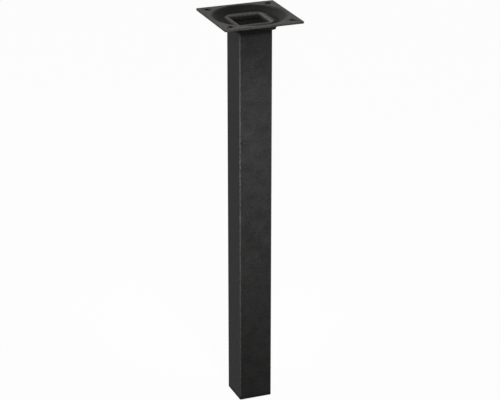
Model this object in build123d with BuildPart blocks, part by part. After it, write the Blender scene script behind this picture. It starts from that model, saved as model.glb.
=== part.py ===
from build123d import *

import math
import os

# Square steel furniture leg: a tube, a pressed plate that screws to the furniture, and a floor cap.
# Millimetres, +Z up, origin at the middle of the foot on the floor.

# Whole leg, from the floor to the face that meets the furniture
leg_height = 300.0

# Square steel tube
tube_side = 25.4
tube_wall = 1.2
tube_corner_radius = 1.0
bore_corner_radius = 0.6
tube_end_break = 0.15

# Mounting plate, pressed from sheet
plate_side = 60.0
plate_corner_radius = 1.0
plate_edge_radius = 0.3
sheet_thickness = 1.5
screw_spacing = 47.0
screw_hole_diameter = 4.0

# Round dish that takes the flared tube end below the mounting face, bend radii on its upper side
dish_depth = 4.35
dish_wall_angle = 40.0
dish_mouth_bend = 3.5
dish_floor_bend = 2.0
dish_floor_land = 2.65

# Square collar drawn up out of the dish floor round the tube
collar_wall = 0.9
collar_rise = 0.3
collar_top_land = 0.2
collar_foot_radius = 0.15
collar_entry_radius = 0.5

# Flared mouth of the tube, which clamps the collar from above
flare_reach = 3.2
flare_corner_radius = 8.7
flare_edge_radius = 0.6

# Pressed bead round the tube, which carries the plate from below, with the groove it leaves inside
bead_proud = 2.8
bead_height = 2.4
bead_upper_radius = 0.3
bead_lower_radius = 0.5
groove_depth = 1.1
groove_height = 0.9
groove_radius = 0.3

# Plastic cap at the floor end: a head the size of the tube and a hollow ribbed plug
cap_head_height = 2.5
cap_sole_radius = 0.4
cap_seam_break = 0.15
plug_length = 15.0
plug_core_side = 18.0
plug_core_wall = 1.5
plug_core_corner_radius = 2.0
rib_count = 3
rib_spacing = 4.0
rib_height = 2.0
rib_taper = 20.0
rib_corner_radius = 3.0

# Clearances between the pieces
collar_clearance = 0.05
plug_clearance = 0.05

# Heights that follow
dish_floor_top = leg_height - dish_depth
dish_floor_underside = dish_floor_top - sheet_thickness
flange_underside = leg_height - sheet_thickness
collar_top = dish_floor_top + collar_rise
flare_underside = collar_top + collar_clearance
flare_top = flare_underside + tube_wall
bead_top = dish_floor_underside - collar_clearance
bead_bottom = bead_top - bead_height
groove_bottom = bead_bottom + (bead_height - groove_height) / 2
groove_top = groove_bottom + groove_height
tube_bottom = cap_head_height

# Sides and corner radii that follow
bore_side = tube_side - 2 * tube_wall
bead_side = tube_side + 2 * bead_proud
groove_side = bore_side + 2 * groove_depth
flare_side = tube_side + 2 * flare_reach
collar_bore_side = tube_side + 2 * collar_clearance
collar_bore_radius = tube_corner_radius + collar_clearance
collar_side = collar_bore_side + 2 * collar_wall
collar_corner_radius = collar_bore_radius + collar_wall
rib_side = bore_side - 2 * plug_clearance
plug_bore_side = plug_core_side - 2 * plug_core_wall
plug_bore_radius = plug_core_corner_radius - plug_core_wall

# Bends that lie in one another: the collar's mouth, the underside of the flare and its upper side
collar_mouth_radius = collar_wall - collar_top_land
flare_under_bend = collar_mouth_radius + collar_clearance
flare_bend = flare_under_bend + tube_wall

# Section of the dish: the floor reaches past the collar's corners, then the wall climbs to the mouth
collar_corner_reach = math.sqrt(2) * (collar_side / 2 - collar_corner_radius) + collar_corner_radius
half_bend = math.tan(math.radians(dish_wall_angle / 2))
wall_run = dish_depth / math.tan(math.radians(dish_wall_angle))
floor_corner = collar_corner_reach + dish_floor_land + dish_floor_bend * half_bend
mouth_corner = floor_corner + wall_run
under_shift = sheet_thickness * half_bend
blank_radius = plate_side


def level_face(builder, height):
    """The flat, level face of a part that lies nearest to a height."""
    return builder.faces().filter_by(Axis.Z).sort_by(lambda face: abs(face.center().Z - height))[0]


os.makedirs("parts", exist_ok=True)

# Square tube
with BuildPart() as tube:
    with BuildSketch(Plane.XY.offset(tube_bottom)):
        RectangleRounded(tube_side, tube_side, tube_corner_radius)
    extrude(amount=flare_top - tube_bottom)
    chamfer(level_face(tube, tube_bottom).edges(), tube_end_break)

    # Bead under the plate
    with BuildSketch(Plane.XY.offset(bead_bottom)):
        RectangleRounded(bead_side, bead_side, tube_corner_radius + bead_proud)
    extrude(amount=bead_height)
    fillet(level_face(tube, bead_bottom).outer_wire().edges(), bead_lower_radius)
    fillet(level_face(tube, bead_top).outer_wire().edges(), bead_upper_radius)

    # Flare over the collar
    with BuildSketch(Plane.XY.offset(flare_underside)):
        RectangleRounded(flare_side, flare_side, flare_corner_radius)
    extrude(amount=tube_wall)
    fillet(level_face(tube, flare_underside).inner_wires()[0].edges(), flare_under_bend)
    fillet(level_face(tube, flare_top).outer_wire().edges(), flare_edge_radius)

    # Hollow of the tube, rounded into the flare and widened behind the bead
    with BuildSketch(Plane.XY.offset(tube_bottom)):
        RectangleRounded(bore_side, bore_side, bore_corner_radius)
    extrude(amount=flare_top - tube_bottom, mode=Mode.SUBTRACT)
    fillet(level_face(tube, flare_top).inner_wires()[0].edges(), flare_bend)
    with BuildSketch(Plane.XY.offset(groove_bottom)):
        RectangleRounded(groove_side, groove_side, bore_corner_radius + groove_depth)
    extrude(amount=groove_height, mode=Mode.SUBTRACT)
    fillet(level_face(tube, groove_bottom).outer_wire().edges(), groove_radius)
    fillet(level_face(tube, groove_top).outer_wire().edges(), groove_radius)

tube.part.label = "tube"
export_step(tube.part, "parts/tube.step")

# Mounting plate: the sheet's section revolved into the dish, then cut to the square blank
with BuildPart() as mounting_plate:
    with BuildSketch(Plane.XZ):
        with BuildLine():
            upper_side = FilletPolyline(
                (blank_radius, leg_height),
                (mouth_corner, leg_height),
                (floor_corner, dish_floor_top),
                (0, dish_floor_top),
                radius=[dish_mouth_bend, dish_floor_bend],
            )
            under_side = FilletPolyline(
                (0, dish_floor_underside),
                (floor_corner + under_shift, dish_floor_underside),
                (mouth_corner + under_shift, flange_underside),
                (blank_radius, flange_underside),
                radius=[dish_floor_bend + sheet_thickness, dish_mouth_bend - sheet_thickness],
            )
            Line(upper_side @ 1, under_side @ 0)
            Line(under_side @ 1, upper_side @ 0)
        make_face()
    revolve(axis=Axis.Z)
    with BuildSketch(Plane.XY.offset(dish_floor_underside)):
        RectangleRounded(plate_side, plate_side, plate_corner_radius)
    extrude(amount=leg_height - dish_floor_underside, mode=Mode.INTERSECT)
    fillet(level_face(mounting_plate, leg_height).outer_wire().edges(), plate_edge_radius)
    fillet(level_face(mounting_plate, flange_underside).outer_wire().edges(), plate_edge_radius)

    # Collar round the tube, with a rounded mouth for the flare and a rounded entry for the tube
    with BuildSketch(Plane.XY.offset(dish_floor_top)):
        RectangleRounded(collar_side, collar_side, collar_corner_radius)
    extrude(amount=collar_rise)
    fillet(level_face(mounting_plate, dish_floor_top).inner_wires()[0].edges(), collar_foot_radius)
    with BuildSketch(Plane.XY.offset(dish_floor_underside)):
        RectangleRounded(collar_bore_side, collar_bore_side, collar_bore_radius)
    extrude(amount=collar_top - dish_floor_underside, mode=Mode.SUBTRACT)
    fillet(level_face(mounting_plate, collar_top).inner_wires()[0].edges(), collar_mouth_radius)
    fillet(
        level_face(mounting_plate, dish_floor_underside).inner_wires()[0].edges(), collar_entry_radius
    )

    # Screw holes in the corners
    with Locations(Plane.XY.offset(leg_height)):
        with GridLocations(screw_spacing, screw_spacing, 2, 2):
            Hole(screw_hole_diameter / 2)

mounting_plate.part.label = "mounting_plate"
export_step(mounting_plate.part, "parts/mounting_plate.step")

# Floor cap: a head that closes the tube and a plug that grips it inside
with BuildPart() as end_cap:
    with BuildSketch():
        RectangleRounded(tube_side, tube_side, tube_corner_radius)
    extrude(amount=cap_head_height)
    fillet(level_face(end_cap, 0).edges(), cap_sole_radius)
    chamfer(level_face(end_cap, cap_head_height).edges(), cap_seam_break)

    # Plug with barbed ribs, hollow from above
    with BuildSketch(Plane.XY.offset(cap_head_height)):
        RectangleRounded(plug_core_side, plug_core_side, plug_core_corner_radius)
    extrude(amount=plug_length)
    for rib in range(1, rib_count + 1):
        with BuildSketch(Plane.XY.offset(cap_head_height + rib * rib_spacing - rib_height)):
            RectangleRounded(rib_side, rib_side, rib_corner_radius)
        extrude(amount=rib_height, taper=rib_taper)
    with BuildSketch(Plane.XY.offset(cap_head_height)):
        RectangleRounded(plug_bore_side, plug_bore_side, plug_bore_radius)
    extrude(amount=plug_length, mode=Mode.SUBTRACT)

end_cap.part.label = "end_cap"
export_step(end_cap.part, "parts/end_cap.step")
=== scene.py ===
import math

import bpy
from mathutils import Euler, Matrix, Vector


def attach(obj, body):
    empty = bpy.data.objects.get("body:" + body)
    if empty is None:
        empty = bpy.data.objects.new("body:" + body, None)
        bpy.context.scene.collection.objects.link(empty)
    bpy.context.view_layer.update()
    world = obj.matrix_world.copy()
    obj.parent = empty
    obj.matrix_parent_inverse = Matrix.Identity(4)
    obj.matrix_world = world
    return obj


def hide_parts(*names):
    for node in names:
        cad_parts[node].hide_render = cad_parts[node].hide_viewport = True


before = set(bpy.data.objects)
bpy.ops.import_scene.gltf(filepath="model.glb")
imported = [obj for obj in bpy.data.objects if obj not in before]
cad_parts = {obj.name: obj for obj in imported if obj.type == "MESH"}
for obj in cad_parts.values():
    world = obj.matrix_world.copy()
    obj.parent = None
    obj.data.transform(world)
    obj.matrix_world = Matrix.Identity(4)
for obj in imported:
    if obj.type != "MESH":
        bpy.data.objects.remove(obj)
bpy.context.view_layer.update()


# Tube: a square steel tube, powder coated black. Its upper end is flared over the plate's collar, and a bead
# pressed out below carries the plate. Geometry Nodes loft it from its wall section, where each point gives a
# half width, a height, the core that the corners turn round, and the light and shade painted into its coat.
mm = 0.001

leg_height = 300.0
tube_side = 25.4
tube_wall = 1.2
tube_corner_radius = 1.0
bore_corner_radius = 0.6
tube_bottom = 2.5
tube_end_break = 0.15
tube_half = tube_side / 2
tube_core = tube_half - tube_corner_radius
bore_half = tube_half - tube_wall
bore_core = bore_half - bore_corner_radius
tube_corner_steps = 16

# Levels of the plate that the flare and the bead lie against
sheet = 1.5
dish_depth = 4.35
collar_rise = 0.3
collar_mouth_radius = 0.7
seat_clearance = 0.05
dish_floor = leg_height - dish_depth
dish_underside = dish_floor - sheet
collar_top = dish_floor + collar_rise

flare_reach = 3.2
flare_corner_radius = 8.7
flare_edge_radius = 0.6
flare_crest_angle = 120
flare_half = tube_half + flare_reach
flare_core = flare_half - flare_corner_radius
flare_underside = collar_top + seat_clearance
flare_top = flare_underside + tube_wall
flare_under_bend = collar_mouth_radius + seat_clearance
flare_bend = flare_under_bend + tube_wall

bead_proud = 2.8
bead_height = 2.4
bead_lower_radius = 0.5
bead_upper_radius = 0.3
groove_depth = 1.1
groove_height = 0.9
groove_radius = 0.3
bead_half = tube_half + bead_proud
bead_top = dish_underside - seat_clearance
bead_bottom = bead_top - bead_height
groove_half = bore_half + groove_depth
groove_bottom = bead_bottom + (bead_height - groove_height) / 2
groove_top = groove_bottom + groove_height

# Rings that keep the shading of the long faces flat, above the tube's end and below the bead
end_ring_rise = 3 * tube_end_break
bead_ring_drop = 1.0

# Painted light and shade in the coat: 0 as sprayed, above 0 painted highlight, below 0 painted shade, duller
sprayed = 0.0
# A painted highlight along the tube's upright edges, where the coat is also thinner
upright_edge_highlight = 0.7
# Painted highlights round the flared lip, and painted light under its outer rim
lip_rim_painted_light = 0.8
lip_edge_highlight = 0.3
lip_top_highlight = 0.2
lip_bend_highlight = 0.6
lip_crest_highlight = 1.0
# A little painted light on the bore's walls
bore_painted_light = 0.06

coat_dark = (0.008, 0.008, 0.008)
coat_light = (0.026, 0.026, 0.026)
# Colours of the painted highlight and of the painted shade
painted_highlight_colour = (0.10, 0.098, 0.095)
painted_shade_colour = (0.005, 0.005, 0.005)

# Most of a noise pattern lies between these
noise_low = 0.3
noise_high = 0.7


def arc(half, height, radius, start, end, core, steps=6, coat=(sprayed, sprayed)):
    """Points of a bend in a wall section, from one angle to another in degrees, 0 outwards and 90 up."""
    points = []
    for step in range(steps + 1):
        share = step / steps
        angle = math.radians(start + (end - start) * share)
        bent_half = half + radius * math.cos(angle)
        bent_height = height + radius * math.sin(angle)
        points.append((bent_half, bent_height, core, coat[0] + (coat[1] - coat[0]) * share))
    return points


def node(tree, kind, *sources, **settings):
    """A node with its settings, its inputs linked or set in order, and None for those left as they are."""
    made = tree.nodes.new(kind)
    for name, value in settings.items():
        setattr(made, name, value)
    for socket, source in zip(made.inputs, sources):
        if isinstance(source, bpy.types.NodeSocket):
            tree.links.new(source, socket)
        elif source is not None:
            socket.default_value = source
    return made


def math_node(tree, operation, *sources):
    """The result of one sum in a tree."""
    return node(tree, "ShaderNodeMath", *sources, operation=operation).outputs[0]


def smooth_faces(tree, geometry):
    """Geometry shaded smooth, apart from edges that turn by more than a bend's step."""
    crease = math.radians(32.0)
    angle = node(tree, "GeometryNodeInputMeshEdgeAngle").outputs["Unsigned Angle"]
    sharp = node(tree, "FunctionNodeCompare", angle, crease, operation="GREATER_THAN").outputs[0]
    smooth = node(tree, "GeometryNodeSetShadeSmooth", geometry, None, True, domain="FACE").outputs[0]
    return node(tree, "GeometryNodeSetShadeSmooth", smooth, sharp, False, domain="EDGE").outputs[0]


def wall_loft_tree():
    """Lofts a wall section round the upright axis: each point becomes a square ring with rounded corners."""
    merge_reach = 0.001 * mm
    tree = bpy.data.node_groups.new("wall_loft", "GeometryNodeTree")
    tree.interface.new_socket("Wall Section", in_out="INPUT", socket_type="NodeSocketGeometry")
    tree.interface.new_socket("Corner Steps", in_out="INPUT", socket_type="NodeSocketInt")
    tree.interface.new_socket("Closed Section", in_out="INPUT", socket_type="NodeSocketInt")
    tree.interface.new_socket("Finish", in_out="INPUT", socket_type="NodeSocketMaterial")
    tree.interface.new_socket("Piece", in_out="OUTPUT", socket_type="NodeSocketGeometry")
    inputs = node(tree, "NodeGroupInput").outputs
    section = inputs["Wall Section"]
    steps = inputs["Corner Steps"]

    # One column of the grid for each step round the four corners, one row for each point of the section
    size = node(tree, "GeometryNodeAttributeDomainSize", section, component="MESH").outputs
    section_points = size["Point Count"]
    rows = math_node(tree, "ADD", section_points, inputs["Closed Section"])
    corner_columns = math_node(tree, "ADD", steps, 1)
    round_columns = math_node(tree, "MULTIPLY", corner_columns, 4)
    columns = math_node(tree, "ADD", round_columns, 1)
    grid = node(tree, "GeometryNodeMeshGrid", 1.0, 1.0, columns, rows).outputs["Mesh"]
    index = node(tree, "GeometryNodeInputIndex").outputs[0]
    column = math_node(tree, "FLOOR", math_node(tree, "DIVIDE", math_node(tree, "ADD", index, 0.5), rows))
    row = math_node(tree, "SUBTRACT", index, math_node(tree, "MULTIPLY", column, rows))
    point = math_node(tree, "FLOORED_MODULO", row, section_points)

    # What the section says at this row
    position = node(tree, "GeometryNodeInputPosition").outputs[0]
    place = node(
        tree, "GeometryNodeSampleIndex", section, position, point, data_type="FLOAT_VECTOR"
    ).outputs[0]
    sampled = {}
    for name in ("core", "coat", "edge_coat"):
        named = node(tree, "GeometryNodeInputNamedAttribute", name, data_type="FLOAT").outputs[0]
        sample = node(tree, "GeometryNodeSampleIndex", section, named, point, data_type="FLOAT")
        sampled[name] = sample.outputs[0]
    half, _, height = node(tree, "ShaderNodeSeparateXYZ", place).outputs
    radius = math_node(tree, "SUBTRACT", half, sampled["core"])

    # Which corner this column is in, and how far round it
    turn = math_node(tree, "FLOORED_MODULO", column, round_columns)
    middle_of_turn = math_node(tree, "ADD", turn, 0.5)
    corner = math_node(tree, "FLOOR", math_node(tree, "DIVIDE", middle_of_turn, corner_columns))
    corner_step = math_node(tree, "SUBTRACT", turn, math_node(tree, "MULTIPLY", corner, corner_columns))
    share = math_node(tree, "DIVIDE", corner_step, steps)
    angle = math_node(tree, "MULTIPLY", math_node(tree, "ADD", corner, share), math.pi / 2)
    diagonal = math_node(tree, "MULTIPLY", math_node(tree, "ADD", corner, 0.5), math.pi / 2)
    core_reach = math_node(tree, "MULTIPLY", sampled["core"], math.sqrt(2))
    ring = []
    for part in ("COSINE", "SINE"):
        middle = math_node(tree, "MULTIPLY", core_reach, math_node(tree, part, diagonal))
        ring.append(math_node(tree, "MULTIPLY_ADD", radius, math_node(tree, part, angle), middle))
    spot = node(tree, "ShaderNodeCombineXYZ", ring[0], ring[1], height).outputs[0]

    # Painted light and shade as the section says, and a painted highlight along the upright edges
    bulge = math_node(tree, "SINE", math_node(tree, "MULTIPLY", share, math.pi))
    on_edge = math_node(tree, "MULTIPLY", bulge, sampled["edge_coat"])
    coat = math_node(tree, "ADD", sampled["coat"], on_edge)
    marked = node(
        tree, "GeometryNodeStoreNamedAttribute", grid, None, "painted_light_and_shade", coat,
        data_type="FLOAT", domain="POINT",
    ).outputs[0]
    placed = node(tree, "GeometryNodeSetPosition", marked, None, spot).outputs[0]
    closed = node(tree, "GeometryNodeMergeByDistance", placed, None, merge_reach).outputs[0]
    real = node(tree, "GeometryNodeRealizeInstances", smooth_faces(tree, closed)).outputs[0]
    finished = node(tree, "GeometryNodeSetMaterial", real, None, inputs["Finish"]).outputs[0]
    node(tree, "NodeGroupOutput", finished)
    return tree


def set_input(modifier, name, value):
    """Sets a modifier's input by the identifier of the tree's socket of that name."""
    modifier[modifier.node_group.interface.items_tree[name].identifier] = value


def section_object(name, section, highlight_edge_half=None):
    """A wall section as a row of points in metres. Upright edges at one half width get a painted highlight.
    """
    same_half = 0.01
    mesh = bpy.data.meshes.new(name)
    mesh.from_pydata([(half * mm, 0, height * mm) for half, height, core, coat in section], [], [])
    edge_highlights = []
    for half, height, core, coat in section:
        on_edge = highlight_edge_half is not None and abs(half - highlight_edge_half) < same_half
        edge_highlights.append(upright_edge_highlight if on_edge else sprayed)
    values = {
        "core": [core * mm for half, height, core, coat in section],
        "coat": [coat for half, height, core, coat in section],
        "edge_coat": edge_highlights,
    }
    for attribute, numbers in values.items():
        mesh.attributes.new(attribute, "FLOAT", "POINT").data.foreach_set("value", numbers)
    piece = bpy.data.objects.new(name, mesh)
    bpy.context.scene.collection.objects.link(piece)
    return piece


def add_loft(piece, material, corner_steps, closed=1):
    """Adds the loft to a wall section's object."""
    loft = piece.modifiers.new("wall_loft", "NODES")
    loft.node_group = wall_loft
    set_input(loft, "Corner Steps", corner_steps)
    set_input(loft, "Closed Section", closed)
    set_input(loft, "Finish", material)


def settle_mesh(piece, material):
    """Turns what a piece's modifiers make into its own plain mesh, with flat faces kept flat beside bends."""
    weighted = piece.modifiers.new("weighted_normals", "WEIGHTED_NORMAL")
    weighted.keep_sharp = True
    bpy.context.view_layer.update()
    depsgraph = bpy.context.evaluated_depsgraph_get()
    mesh = bpy.data.meshes.new_from_object(
        piece.evaluated_get(depsgraph), preserve_all_data_layers=True, depsgraph=depsgraph
    )
    piece.modifiers.clear()
    section_mesh = piece.data
    piece.data = mesh
    mesh.name = piece.name
    mesh.materials.clear()
    mesh.materials.append(material)
    mesh.polygons.foreach_set("material_index", [0] * len(mesh.polygons))
    bpy.data.meshes.remove(section_mesh)


def noise(tree, place, scale, detail, roughness):
    """A noise pattern, with its scale in lumps to a metre."""
    return node(tree, "ShaderNodeTexNoise", place, None, scale, detail, roughness).outputs[0]


def map_range(tree, value, low, high, to_low, to_high):
    """A value moved from one range to another, and held at its ends."""
    return node(tree, "ShaderNodeMapRange", value, low, high, to_low, to_high).outputs[0]


def mix_colour(tree, share, first, second):
    """A mix of two colours, the first given as a colour or as a node's result."""
    mix = node(tree, "ShaderNodeMix", data_type="RGBA")
    first_socket = mix.inputs[6]
    second_socket = mix.inputs[7]
    tree.links.new(share, mix.inputs["Factor"])
    if isinstance(first, bpy.types.NodeSocket):
        tree.links.new(first, first_socket)
    else:
        first_socket.default_value = (*first, 1.0)
    second_socket.default_value = (*second, 1.0)
    return mix.outputs[2]


def add_relief(tree, shader, height, strength, depth):
    """Raises a finish's skin by a pattern, at a strength and a depth in metres."""
    bump = node(tree, "ShaderNodeBump", strength, depth)
    tree.links.new(height, bump.inputs["Height"])
    tree.links.new(bump.outputs[0], shader.inputs["Normal"])


def powder_coat(name, roughness, sheen, grain):
    """Fine textured black powder coat, with highlight and shade painted in where the section marks them."""
    cloud_share = 0.4
    speckle_share = 0.6
    roughness_spread = 0.04
    highlight_polish = 0.05
    shade_dulling = 0.25
    peel_share = 1.5
    grain_depth = 0.02 * mm
    material = bpy.data.materials.new(name)
    material.use_nodes = True
    tree = material.node_tree
    shader = tree.nodes["Principled BSDF"]
    place = node(tree, "ShaderNodeTexCoord").outputs["Object"]
    clouds = noise(tree, place, scale=90.0, detail=3.0, roughness=0.6)
    speckle = noise(tree, place, scale=700.0, detail=3.0, roughness=0.65)
    pebbles = noise(tree, place, scale=1500.0, detail=2.0, roughness=0.5)
    peel = noise(tree, place, scale=260.0, detail=1.0, roughness=0.5)

    # Where highlights are painted, broken up by the speckle, and where shade is painted
    coat = node(tree, "ShaderNodeAttribute", attribute_name="painted_light_and_shade").outputs["Fac"]
    broken = map_range(tree, speckle, low=0.35, high=0.6, to_low=0.35, to_high=1.0)
    painted_highlight = math_node(tree, "MULTIPLY", coat, broken)
    painted_shade = math_node(tree, "MAXIMUM", math_node(tree, "MULTIPLY", coat, -1.0), 0.0)

    # Colour: broad clouds and speckle, lighter for painted highlights and darker for painted shade
    cloud_part = math_node(tree, "MULTIPLY", clouds, cloud_share)
    speckle_part = math_node(tree, "MULTIPLY", speckle, speckle_share)
    tone = map_range(tree, math_node(tree, "ADD", cloud_part, speckle_part), noise_low, noise_high, 0.0, 1.0)
    even = mix_colour(tree, tone, coat_dark, coat_light)
    colour = mix_colour(tree, painted_shade, mix_colour(tree, painted_highlight, even, painted_highlight_colour), painted_shade_colour)
    tree.links.new(colour, shader.inputs["Base Color"])

    # Gloss: satin, uneven with the clouds, smoother under painted highlights and rougher under painted shade
    smoothest = roughness - roughness_spread
    roughest = roughness + roughness_spread
    satin = map_range(tree, clouds, noise_low, noise_high, smoothest, roughest)
    polished = math_node(tree, "SUBTRACT", satin, math_node(tree, "MULTIPLY", painted_highlight, highlight_polish))
    gloss = math_node(tree, "MULTIPLY_ADD", painted_shade, shade_dulling, polished)
    tree.links.new(gloss, shader.inputs["Roughness"])
    shader.inputs["Specular IOR Level"].default_value = sheen

    # Skin: pebbles of the textured powder over a slow orange peel
    relief = math_node(tree, "MULTIPLY_ADD", peel, peel_share, pebbles)
    add_relief(tree, shader, relief, grain, grain_depth)
    return material


wall_loft = wall_loft_tree()
tube_coat = powder_coat("tube_powder_coat", roughness=0.6, sheen=0.055, grain=0.8)

tube_section = [
    (tube_half - tube_end_break, tube_bottom, tube_core, sprayed),
    (tube_half, tube_bottom + tube_end_break, tube_core, sprayed),
    (tube_half, tube_bottom + end_ring_rise, tube_core, sprayed),
    (tube_half, bead_bottom - bead_ring_drop, tube_core, sprayed),
    (tube_half, bead_bottom, tube_core, sprayed),
]
tube_section += arc(
    bead_half - bead_lower_radius, bead_bottom + bead_lower_radius, bead_lower_radius, -90, 0, tube_core
)
tube_section += arc(
    bead_half - bead_upper_radius, bead_top - bead_upper_radius, bead_upper_radius, 0, 90, tube_core
)
tube_section += [(tube_half, bead_top, tube_core, sprayed)]
tube_section += arc(
    tube_half + flare_under_bend, flare_underside - flare_under_bend, flare_under_bend, 180, 90, tube_core
)
tube_section += [
    (flare_half - flare_edge_radius, flare_underside, flare_core, sprayed),
    (flare_half, flare_underside, flare_core, lip_rim_painted_light),
]
tube_section += arc(
    flare_half - flare_edge_radius, flare_top - flare_edge_radius, flare_edge_radius, 0, 90, flare_core,
    coat=(lip_edge_highlight, lip_top_highlight),
)
tube_section += arc(
    bore_half + flare_bend, flare_top - flare_bend, flare_bend, 90, flare_crest_angle, bore_core,
    coat=(lip_bend_highlight, lip_crest_highlight),
)
tube_section += arc(
    bore_half + flare_bend, flare_top - flare_bend, flare_bend, flare_crest_angle, 180, bore_core,
    coat=(lip_crest_highlight, bore_painted_light),
)[1:]
tube_section += [(bore_half, groove_top, bore_core, bore_painted_light)]
tube_section += arc(
    groove_half - groove_radius, groove_top - groove_radius, groove_radius, 90, 0, bore_core
)
tube_section += arc(
    groove_half - groove_radius, groove_bottom + groove_radius, groove_radius, 0, -90, bore_core
)
tube_section += [
    (bore_half, groove_bottom, bore_core, bore_painted_light),
    (bore_half, tube_bottom, bore_core, bore_painted_light),
]

tube = section_object("square_tube", tube_section, highlight_edge_half=tube_half)
add_loft(tube, tube_coat, tube_corner_steps)
settle_mesh(tube, tube_coat)
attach(tube, "root")
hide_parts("tube")


# Mounting plate: pressed from steel sheet and powder coated with the tube. A round dish is drawn into it,
# with a low square collar that lies between the tube's flare and its bead. Four screw holes are punched in
# its corners.
plate_side = 60.0
plate_corner_radius = 1.0
plate_edge_radius = 0.3
dish_floor_land = 2.65
dish_wall_angle = 40.0
dish_floor_bend = 2.0
dish_mouth_bend = 3.5
collar_wall = 0.9
collar_foot_radius = 0.15
collar_entry_radius = 0.5
screw_spacing = 47.0
screw_hole_radius = 2.0
screw_hole_rim = 0.25
plate_corner_steps = 24
screw_hole_corner_steps = 8
round_core = 0

# A painted sheen on the flange and its edge
flange_edge_sheen = 0.55
flange_painted_sheen = 0.52
# Painted shade on the dish's wall and floor, and under the dish
dish_wall_shade = -0.15
dish_floor_shade = -0.6
dish_under_shade = -0.7
# Painted light on the screw holes' walls
hole_wall_painted_light = 1.0

plate_half = plate_side / 2
plate_core = plate_half - plate_corner_radius
edge_bend_half = plate_half - plate_edge_radius
flange_underside = leg_height - sheet
collar_core = tube_core
collar_bore_half = tube_half + seat_clearance
collar_half = collar_bore_half + collar_wall
entry_bend_half = collar_bore_half + collar_entry_radius
rim_bend_half = screw_hole_radius + screw_hole_rim

# Where the dish bends, on its upper side and on its underside
half_turn = math.tan(math.radians(dish_wall_angle / 2))
collar_reach = math.sqrt(2) * collar_core + collar_half - collar_core
dish_floor_corner = collar_reach + dish_floor_land + dish_floor_bend * half_turn
dish_mouth_corner = dish_floor_corner + dish_depth / math.tan(math.radians(dish_wall_angle))
floor_bend_start = dish_floor_corner - dish_floor_bend * half_turn
mouth_bend_end = dish_mouth_corner + dish_mouth_bend * half_turn
under_shift = sheet * half_turn
under_floor_bend = dish_floor_bend + sheet
under_mouth_bend = dish_mouth_bend - sheet
under_floor_bend_start = dish_floor_corner + under_shift - under_floor_bend * half_turn
under_mouth_bend_end = dish_mouth_corner + under_shift + under_mouth_bend * half_turn

plate_coat = powder_coat("plate_powder_coat", roughness=0.58, sheen=0.05, grain=0.7)

plate_section = [(entry_bend_half, dish_underside, collar_core, dish_under_shade)]
plate_section += arc(
    under_floor_bend_start, dish_underside + under_floor_bend, under_floor_bend,
    -90, dish_wall_angle - 90, round_core, steps=10, coat=(dish_under_shade, dish_under_shade),
)
plate_section += arc(
    under_mouth_bend_end, flange_underside - under_mouth_bend, under_mouth_bend,
    90 + dish_wall_angle, 90, round_core, steps=8, coat=(dish_under_shade, sprayed),
)
plate_section += arc(
    edge_bend_half, flange_underside + plate_edge_radius, plate_edge_radius,
    -90, 0, plate_core, coat=(sprayed, flange_edge_sheen),
)
plate_section += arc(
    edge_bend_half, leg_height - plate_edge_radius, plate_edge_radius,
    0, 90, plate_core, coat=(flange_edge_sheen, flange_painted_sheen),
)
plate_section += arc(
    mouth_bend_end, leg_height - dish_mouth_bend, dish_mouth_bend,
    90, 90 + dish_wall_angle, round_core, steps=12, coat=(flange_painted_sheen, dish_wall_shade),
)
plate_section += arc(
    floor_bend_start, dish_floor + dish_floor_bend, dish_floor_bend,
    dish_wall_angle - 90, -90, round_core, steps=10, coat=(dish_wall_shade, dish_floor_shade),
)
plate_section += arc(
    collar_half + collar_foot_radius, dish_floor + collar_foot_radius, collar_foot_radius,
    -90, -180, collar_core, coat=(dish_floor_shade, sprayed),
)
plate_section += [(collar_half, collar_top, collar_core, sprayed)]
plate_section += arc(
    collar_bore_half + collar_mouth_radius, collar_top - collar_mouth_radius, collar_mouth_radius,
    90, 180, collar_core,
)
plate_section += arc(
    entry_bend_half, dish_underside + collar_entry_radius, collar_entry_radius, 180, 270, collar_core
)[:-1]

# The punch that cuts a hole and rounds its rims. Its arcs end before they lie flat on the sheet, so that it
# cuts cleanly.
punch_overshoot = 0.2
rim_end_angle = 15

hole_section = [
    (0, flange_underside - punch_overshoot, round_core, sprayed),
    (rim_bend_half, flange_underside - punch_overshoot, round_core, sprayed),
]
hole_section += arc(
    rim_bend_half, flange_underside + screw_hole_rim, screw_hole_rim,
    -90 - rim_end_angle, -180, round_core, steps=4, coat=(sprayed, hole_wall_painted_light),
)
hole_section += arc(
    rim_bend_half, leg_height - screw_hole_rim, screw_hole_rim,
    180, 90 + rim_end_angle, round_core, steps=4, coat=(hole_wall_painted_light, flange_painted_sheen),
)
hole_section += [
    (rim_bend_half, leg_height + punch_overshoot, round_core, sprayed),
    (0, leg_height + punch_overshoot, round_core, sprayed),
]


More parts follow.
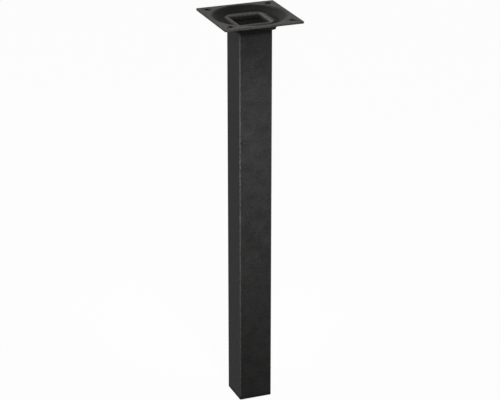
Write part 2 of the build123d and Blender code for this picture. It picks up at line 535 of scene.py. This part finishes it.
def screw_hole_tree():
    """Cuts a hole at each corner of a square of the given spacing."""
    tree = bpy.data.node_groups.new("screw_holes", "GeometryNodeTree")
    tree.interface.new_socket("Plate", in_out="INPUT", socket_type="NodeSocketGeometry")
    tree.interface.new_socket("Punch", in_out="INPUT", socket_type="NodeSocketObject")
    tree.interface.new_socket("Spacing", in_out="INPUT", socket_type="NodeSocketFloat")
    tree.interface.new_socket("Finish", in_out="INPUT", socket_type="NodeSocketMaterial")
    tree.interface.new_socket("Piece", in_out="OUTPUT", socket_type="NodeSocketGeometry")
    inputs = node(tree, "NodeGroupInput").outputs
    places = node(tree, "GeometryNodeMeshGrid", inputs["Spacing"], inputs["Spacing"], 2, 2).outputs["Mesh"]
    shape = node(tree, "GeometryNodeObjectInfo", inputs["Punch"]).outputs["Geometry"]
    punches = node(tree, "GeometryNodeInstanceOnPoints", places, None, shape).outputs[0]
    cutters = node(tree, "GeometryNodeRealizeInstances", punches).outputs[0]
    cut = node(
        tree, "GeometryNodeMeshBoolean", inputs["Plate"], cutters, operation="DIFFERENCE", solver="EXACT"
    ).outputs[0]
    real = node(tree, "GeometryNodeRealizeInstances", smooth_faces(tree, cut)).outputs[0]
    finished = node(tree, "GeometryNodeSetMaterial", real, None, inputs["Finish"]).outputs[0]
    node(tree, "NodeGroupOutput", finished)
    return tree


punch = section_object("screw_hole_punch", hole_section)
add_loft(punch, plate_coat, screw_hole_corner_steps, closed=0)
plate = section_object("pressed_plate", plate_section)
add_loft(plate, plate_coat, plate_corner_steps)
holes = plate.modifiers.new("screw_holes", "NODES")
holes.node_group = screw_hole_tree()
set_input(holes, "Punch", punch)
set_input(holes, "Spacing", screw_spacing * mm)
set_input(holes, "Finish", plate_coat)
settle_mesh(plate, plate_coat)
bpy.data.objects.remove(punch)
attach(plate, "root")
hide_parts("mounting_plate")


# End cap: moulded from black plastic and pushed into the tube's lower end by its ribbed plug. Its head is as
# wide as the tube and stands on the floor. It keeps its solid's own mesh and takes only a finish here.
plastic_dark = (0.008, 0.008, 0.008)
plastic_light = (0.016, 0.016, 0.016)


def moulded_plastic(name, smoothest, roughest, sheen, grain):
    """Matt black plastic, hazed in places, with the fine texture of its mould."""
    grain_depth = 0.01 * mm
    material = bpy.data.materials.new(name)
    material.use_nodes = True
    tree = material.node_tree
    shader = tree.nodes["Principled BSDF"]
    place = node(tree, "ShaderNodeTexCoord").outputs["Object"]
    haze = noise(tree, place, scale=160.0, detail=3.0, roughness=0.6)
    spark = noise(tree, place, scale=2600.0, detail=2.0, roughness=0.5)
    colour = mix_colour(tree, haze, plastic_dark, plastic_light)
    tree.links.new(colour, shader.inputs["Base Color"])
    dull = map_range(tree, haze, noise_low, noise_high, smoothest, roughest)
    tree.links.new(dull, shader.inputs["Roughness"])
    shader.inputs["Specular IOR Level"].default_value = sheen
    add_relief(tree, shader, spark, grain, grain_depth)
    return material


cap_plastic = moulded_plastic("cap_plastic", smoothest=0.58, roughest=0.7, sheen=0.07, grain=0.5)
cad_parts["end_cap"].data.materials[0] = cap_plastic


# Floor: a plain white sheet under the leg. What looks at it directly or in a gloss sees it white, with the
# leg's soft shadow on it, and it throws little light back up.
floor_reach = 4.0
floor_height = -0.05 * mm
floor_white_share = 0.96
floor_colour = (0.6, 0.6, 0.6, 1.0)
white = (1.0, 1.0, 1.0, 1.0)


def seen_directly(tree):
    """One for rays from the camera and for those off gloss or through glass, and nought for other light."""
    path = node(tree, "ShaderNodeLightPath").outputs
    gloss = math_node(tree, "MAXIMUM", path["Is Glossy Ray"], path["Is Transmission Ray"])
    return math_node(tree, "MAXIMUM", path["Is Camera Ray"], gloss)


floor_mesh = bpy.data.meshes.new("floor")
floor_corners = [(-1, -1), (1, -1), (1, 1), (-1, 1)]
floor_mesh.from_pydata(
    [(x * floor_reach, y * floor_reach, floor_height) for x, y in floor_corners], [], [(0, 1, 2, 3)]
)
floor = bpy.data.objects.new("floor", floor_mesh)
bpy.context.scene.collection.objects.link(floor)
floor_paint = bpy.data.materials.new("floor_white")
floor_paint.use_nodes = True
paint = floor_paint.node_tree
paint.nodes.clear()
matt = node(paint, "ShaderNodeBsdfDiffuse", floor_colour).outputs[0]
glow = node(paint, "ShaderNodeEmission", white, 1.0).outputs[0]
glow_share = math_node(paint, "MULTIPLY", seen_directly(paint), floor_white_share)
blend = node(paint, "ShaderNodeMixShader", glow_share, matt, glow).outputs[0]
node(paint, "ShaderNodeOutputMaterial", blend)
floor_mesh.materials.append(floor_paint)


# Studio: a slightly warm white surround, seen dimmer overhead, two soft lights behind the leg, and two beams
# with soft borders. One comes from the left over the plate. The other is in front of the tube, and the plate
# shades the tube's upper end from it.
surround_colour = (1.0, 0.985, 0.955, 1.0)
surround_light = 0.5
overhead_light = 0.2
overhead_start = 0.85
overhead_full = 0.97

world = bpy.data.worlds.new("studio")
bpy.context.scene.world = world
world.use_nodes = True
sky = world.node_tree
direction = node(sky, "ShaderNodeTexCoord").outputs["Generated"]
rise = node(sky, "ShaderNodeSeparateXYZ", direction).outputs["Z"]
ceiling = map_range(sky, rise, overhead_start, overhead_full, 1.0, overhead_light)
strength = map_range(sky, seen_directly(sky), 0.0, 1.0, surround_light, ceiling)
sky.links.new(strength, sky.nodes["Background"].inputs["Strength"])
sky.nodes["Background"].inputs["Color"].default_value = surround_colour


def place_light(name, lamp, place, aim):
    """Puts a lamp at a place, facing a point."""
    light = bpy.data.objects.new(name, lamp)
    light.location = place
    light.rotation_euler = (Vector(aim) - Vector(place)).to_track_quat("-Z", "Y").to_euler()
    bpy.context.scene.collection.objects.link(light)


def soft_light(name, place, aim, size, power):
    """A square soft light."""
    lamp = bpy.data.lights.new(name, "AREA")
    lamp.shape = "SQUARE"
    lamp.size = size
    lamp.energy = power
    place_light(name, lamp, place, aim)


def beam_light(name, place, aim, size, power, cone):
    """A beam with a soft border, its cone in degrees."""
    lamp = bpy.data.lights.new(name, "SPOT")
    lamp.shadow_soft_size = size
    lamp.energy = power
    lamp.spot_size = math.radians(cone)
    lamp.spot_blend = 1.0
    place_light(name, lamp, place, aim)


soft_light("back_left_soft", place=(-0.9, 0.6, 0.9), aim=(0, 0, 0.28), size=0.6, power=2.0)
soft_light("back_soft", place=(-0.08, 0.45, 0.67), aim=(0, 0, 0.29), size=0.2, power=1.1)
beam_light("top_beam", place=(-0.56, -0.06, 0.62), aim=(0.008, 0, 0.3), size=0.05, power=12.0, cone=7.2)
beam_light(
    "front_beam", place=(-0.045, -0.3, 0.43), aim=(0, -0.0127, 0.174), size=0.04, power=11.7, cone=37.2
)


# Camera: at the photograph's place, found from the edges of the plate and the tube.
photo_width = 500
focal_pixels = 1993.7
sensor_width = 36.0
camera_azimuth = math.radians(-21.338)
camera_turn = math.radians(-0.013)
camera_pitch = math.radians(21.619)
camera_distance = 1373.85 * mm
camera_height = 702.04 * mm

lens = bpy.data.cameras.new("photo_camera")
lens.sensor_fit = "HORIZONTAL"
lens.sensor_width = sensor_width
lens.lens = focal_pixels * sensor_width / photo_width
lens.clip_start = 0.05
camera = bpy.data.objects.new("photo_camera", lens)
camera.location = (
    math.sin(camera_azimuth) * camera_distance, -math.cos(camera_azimuth) * camera_distance, camera_height
)
camera.rotation_euler = Euler((math.pi / 2 - camera_pitch, 0, camera_azimuth + camera_turn))
bpy.context.scene.collection.objects.link(camera)
bpy.context.scene.camera = camera
bpy.context.scene.view_settings.view_transform = "Standard"
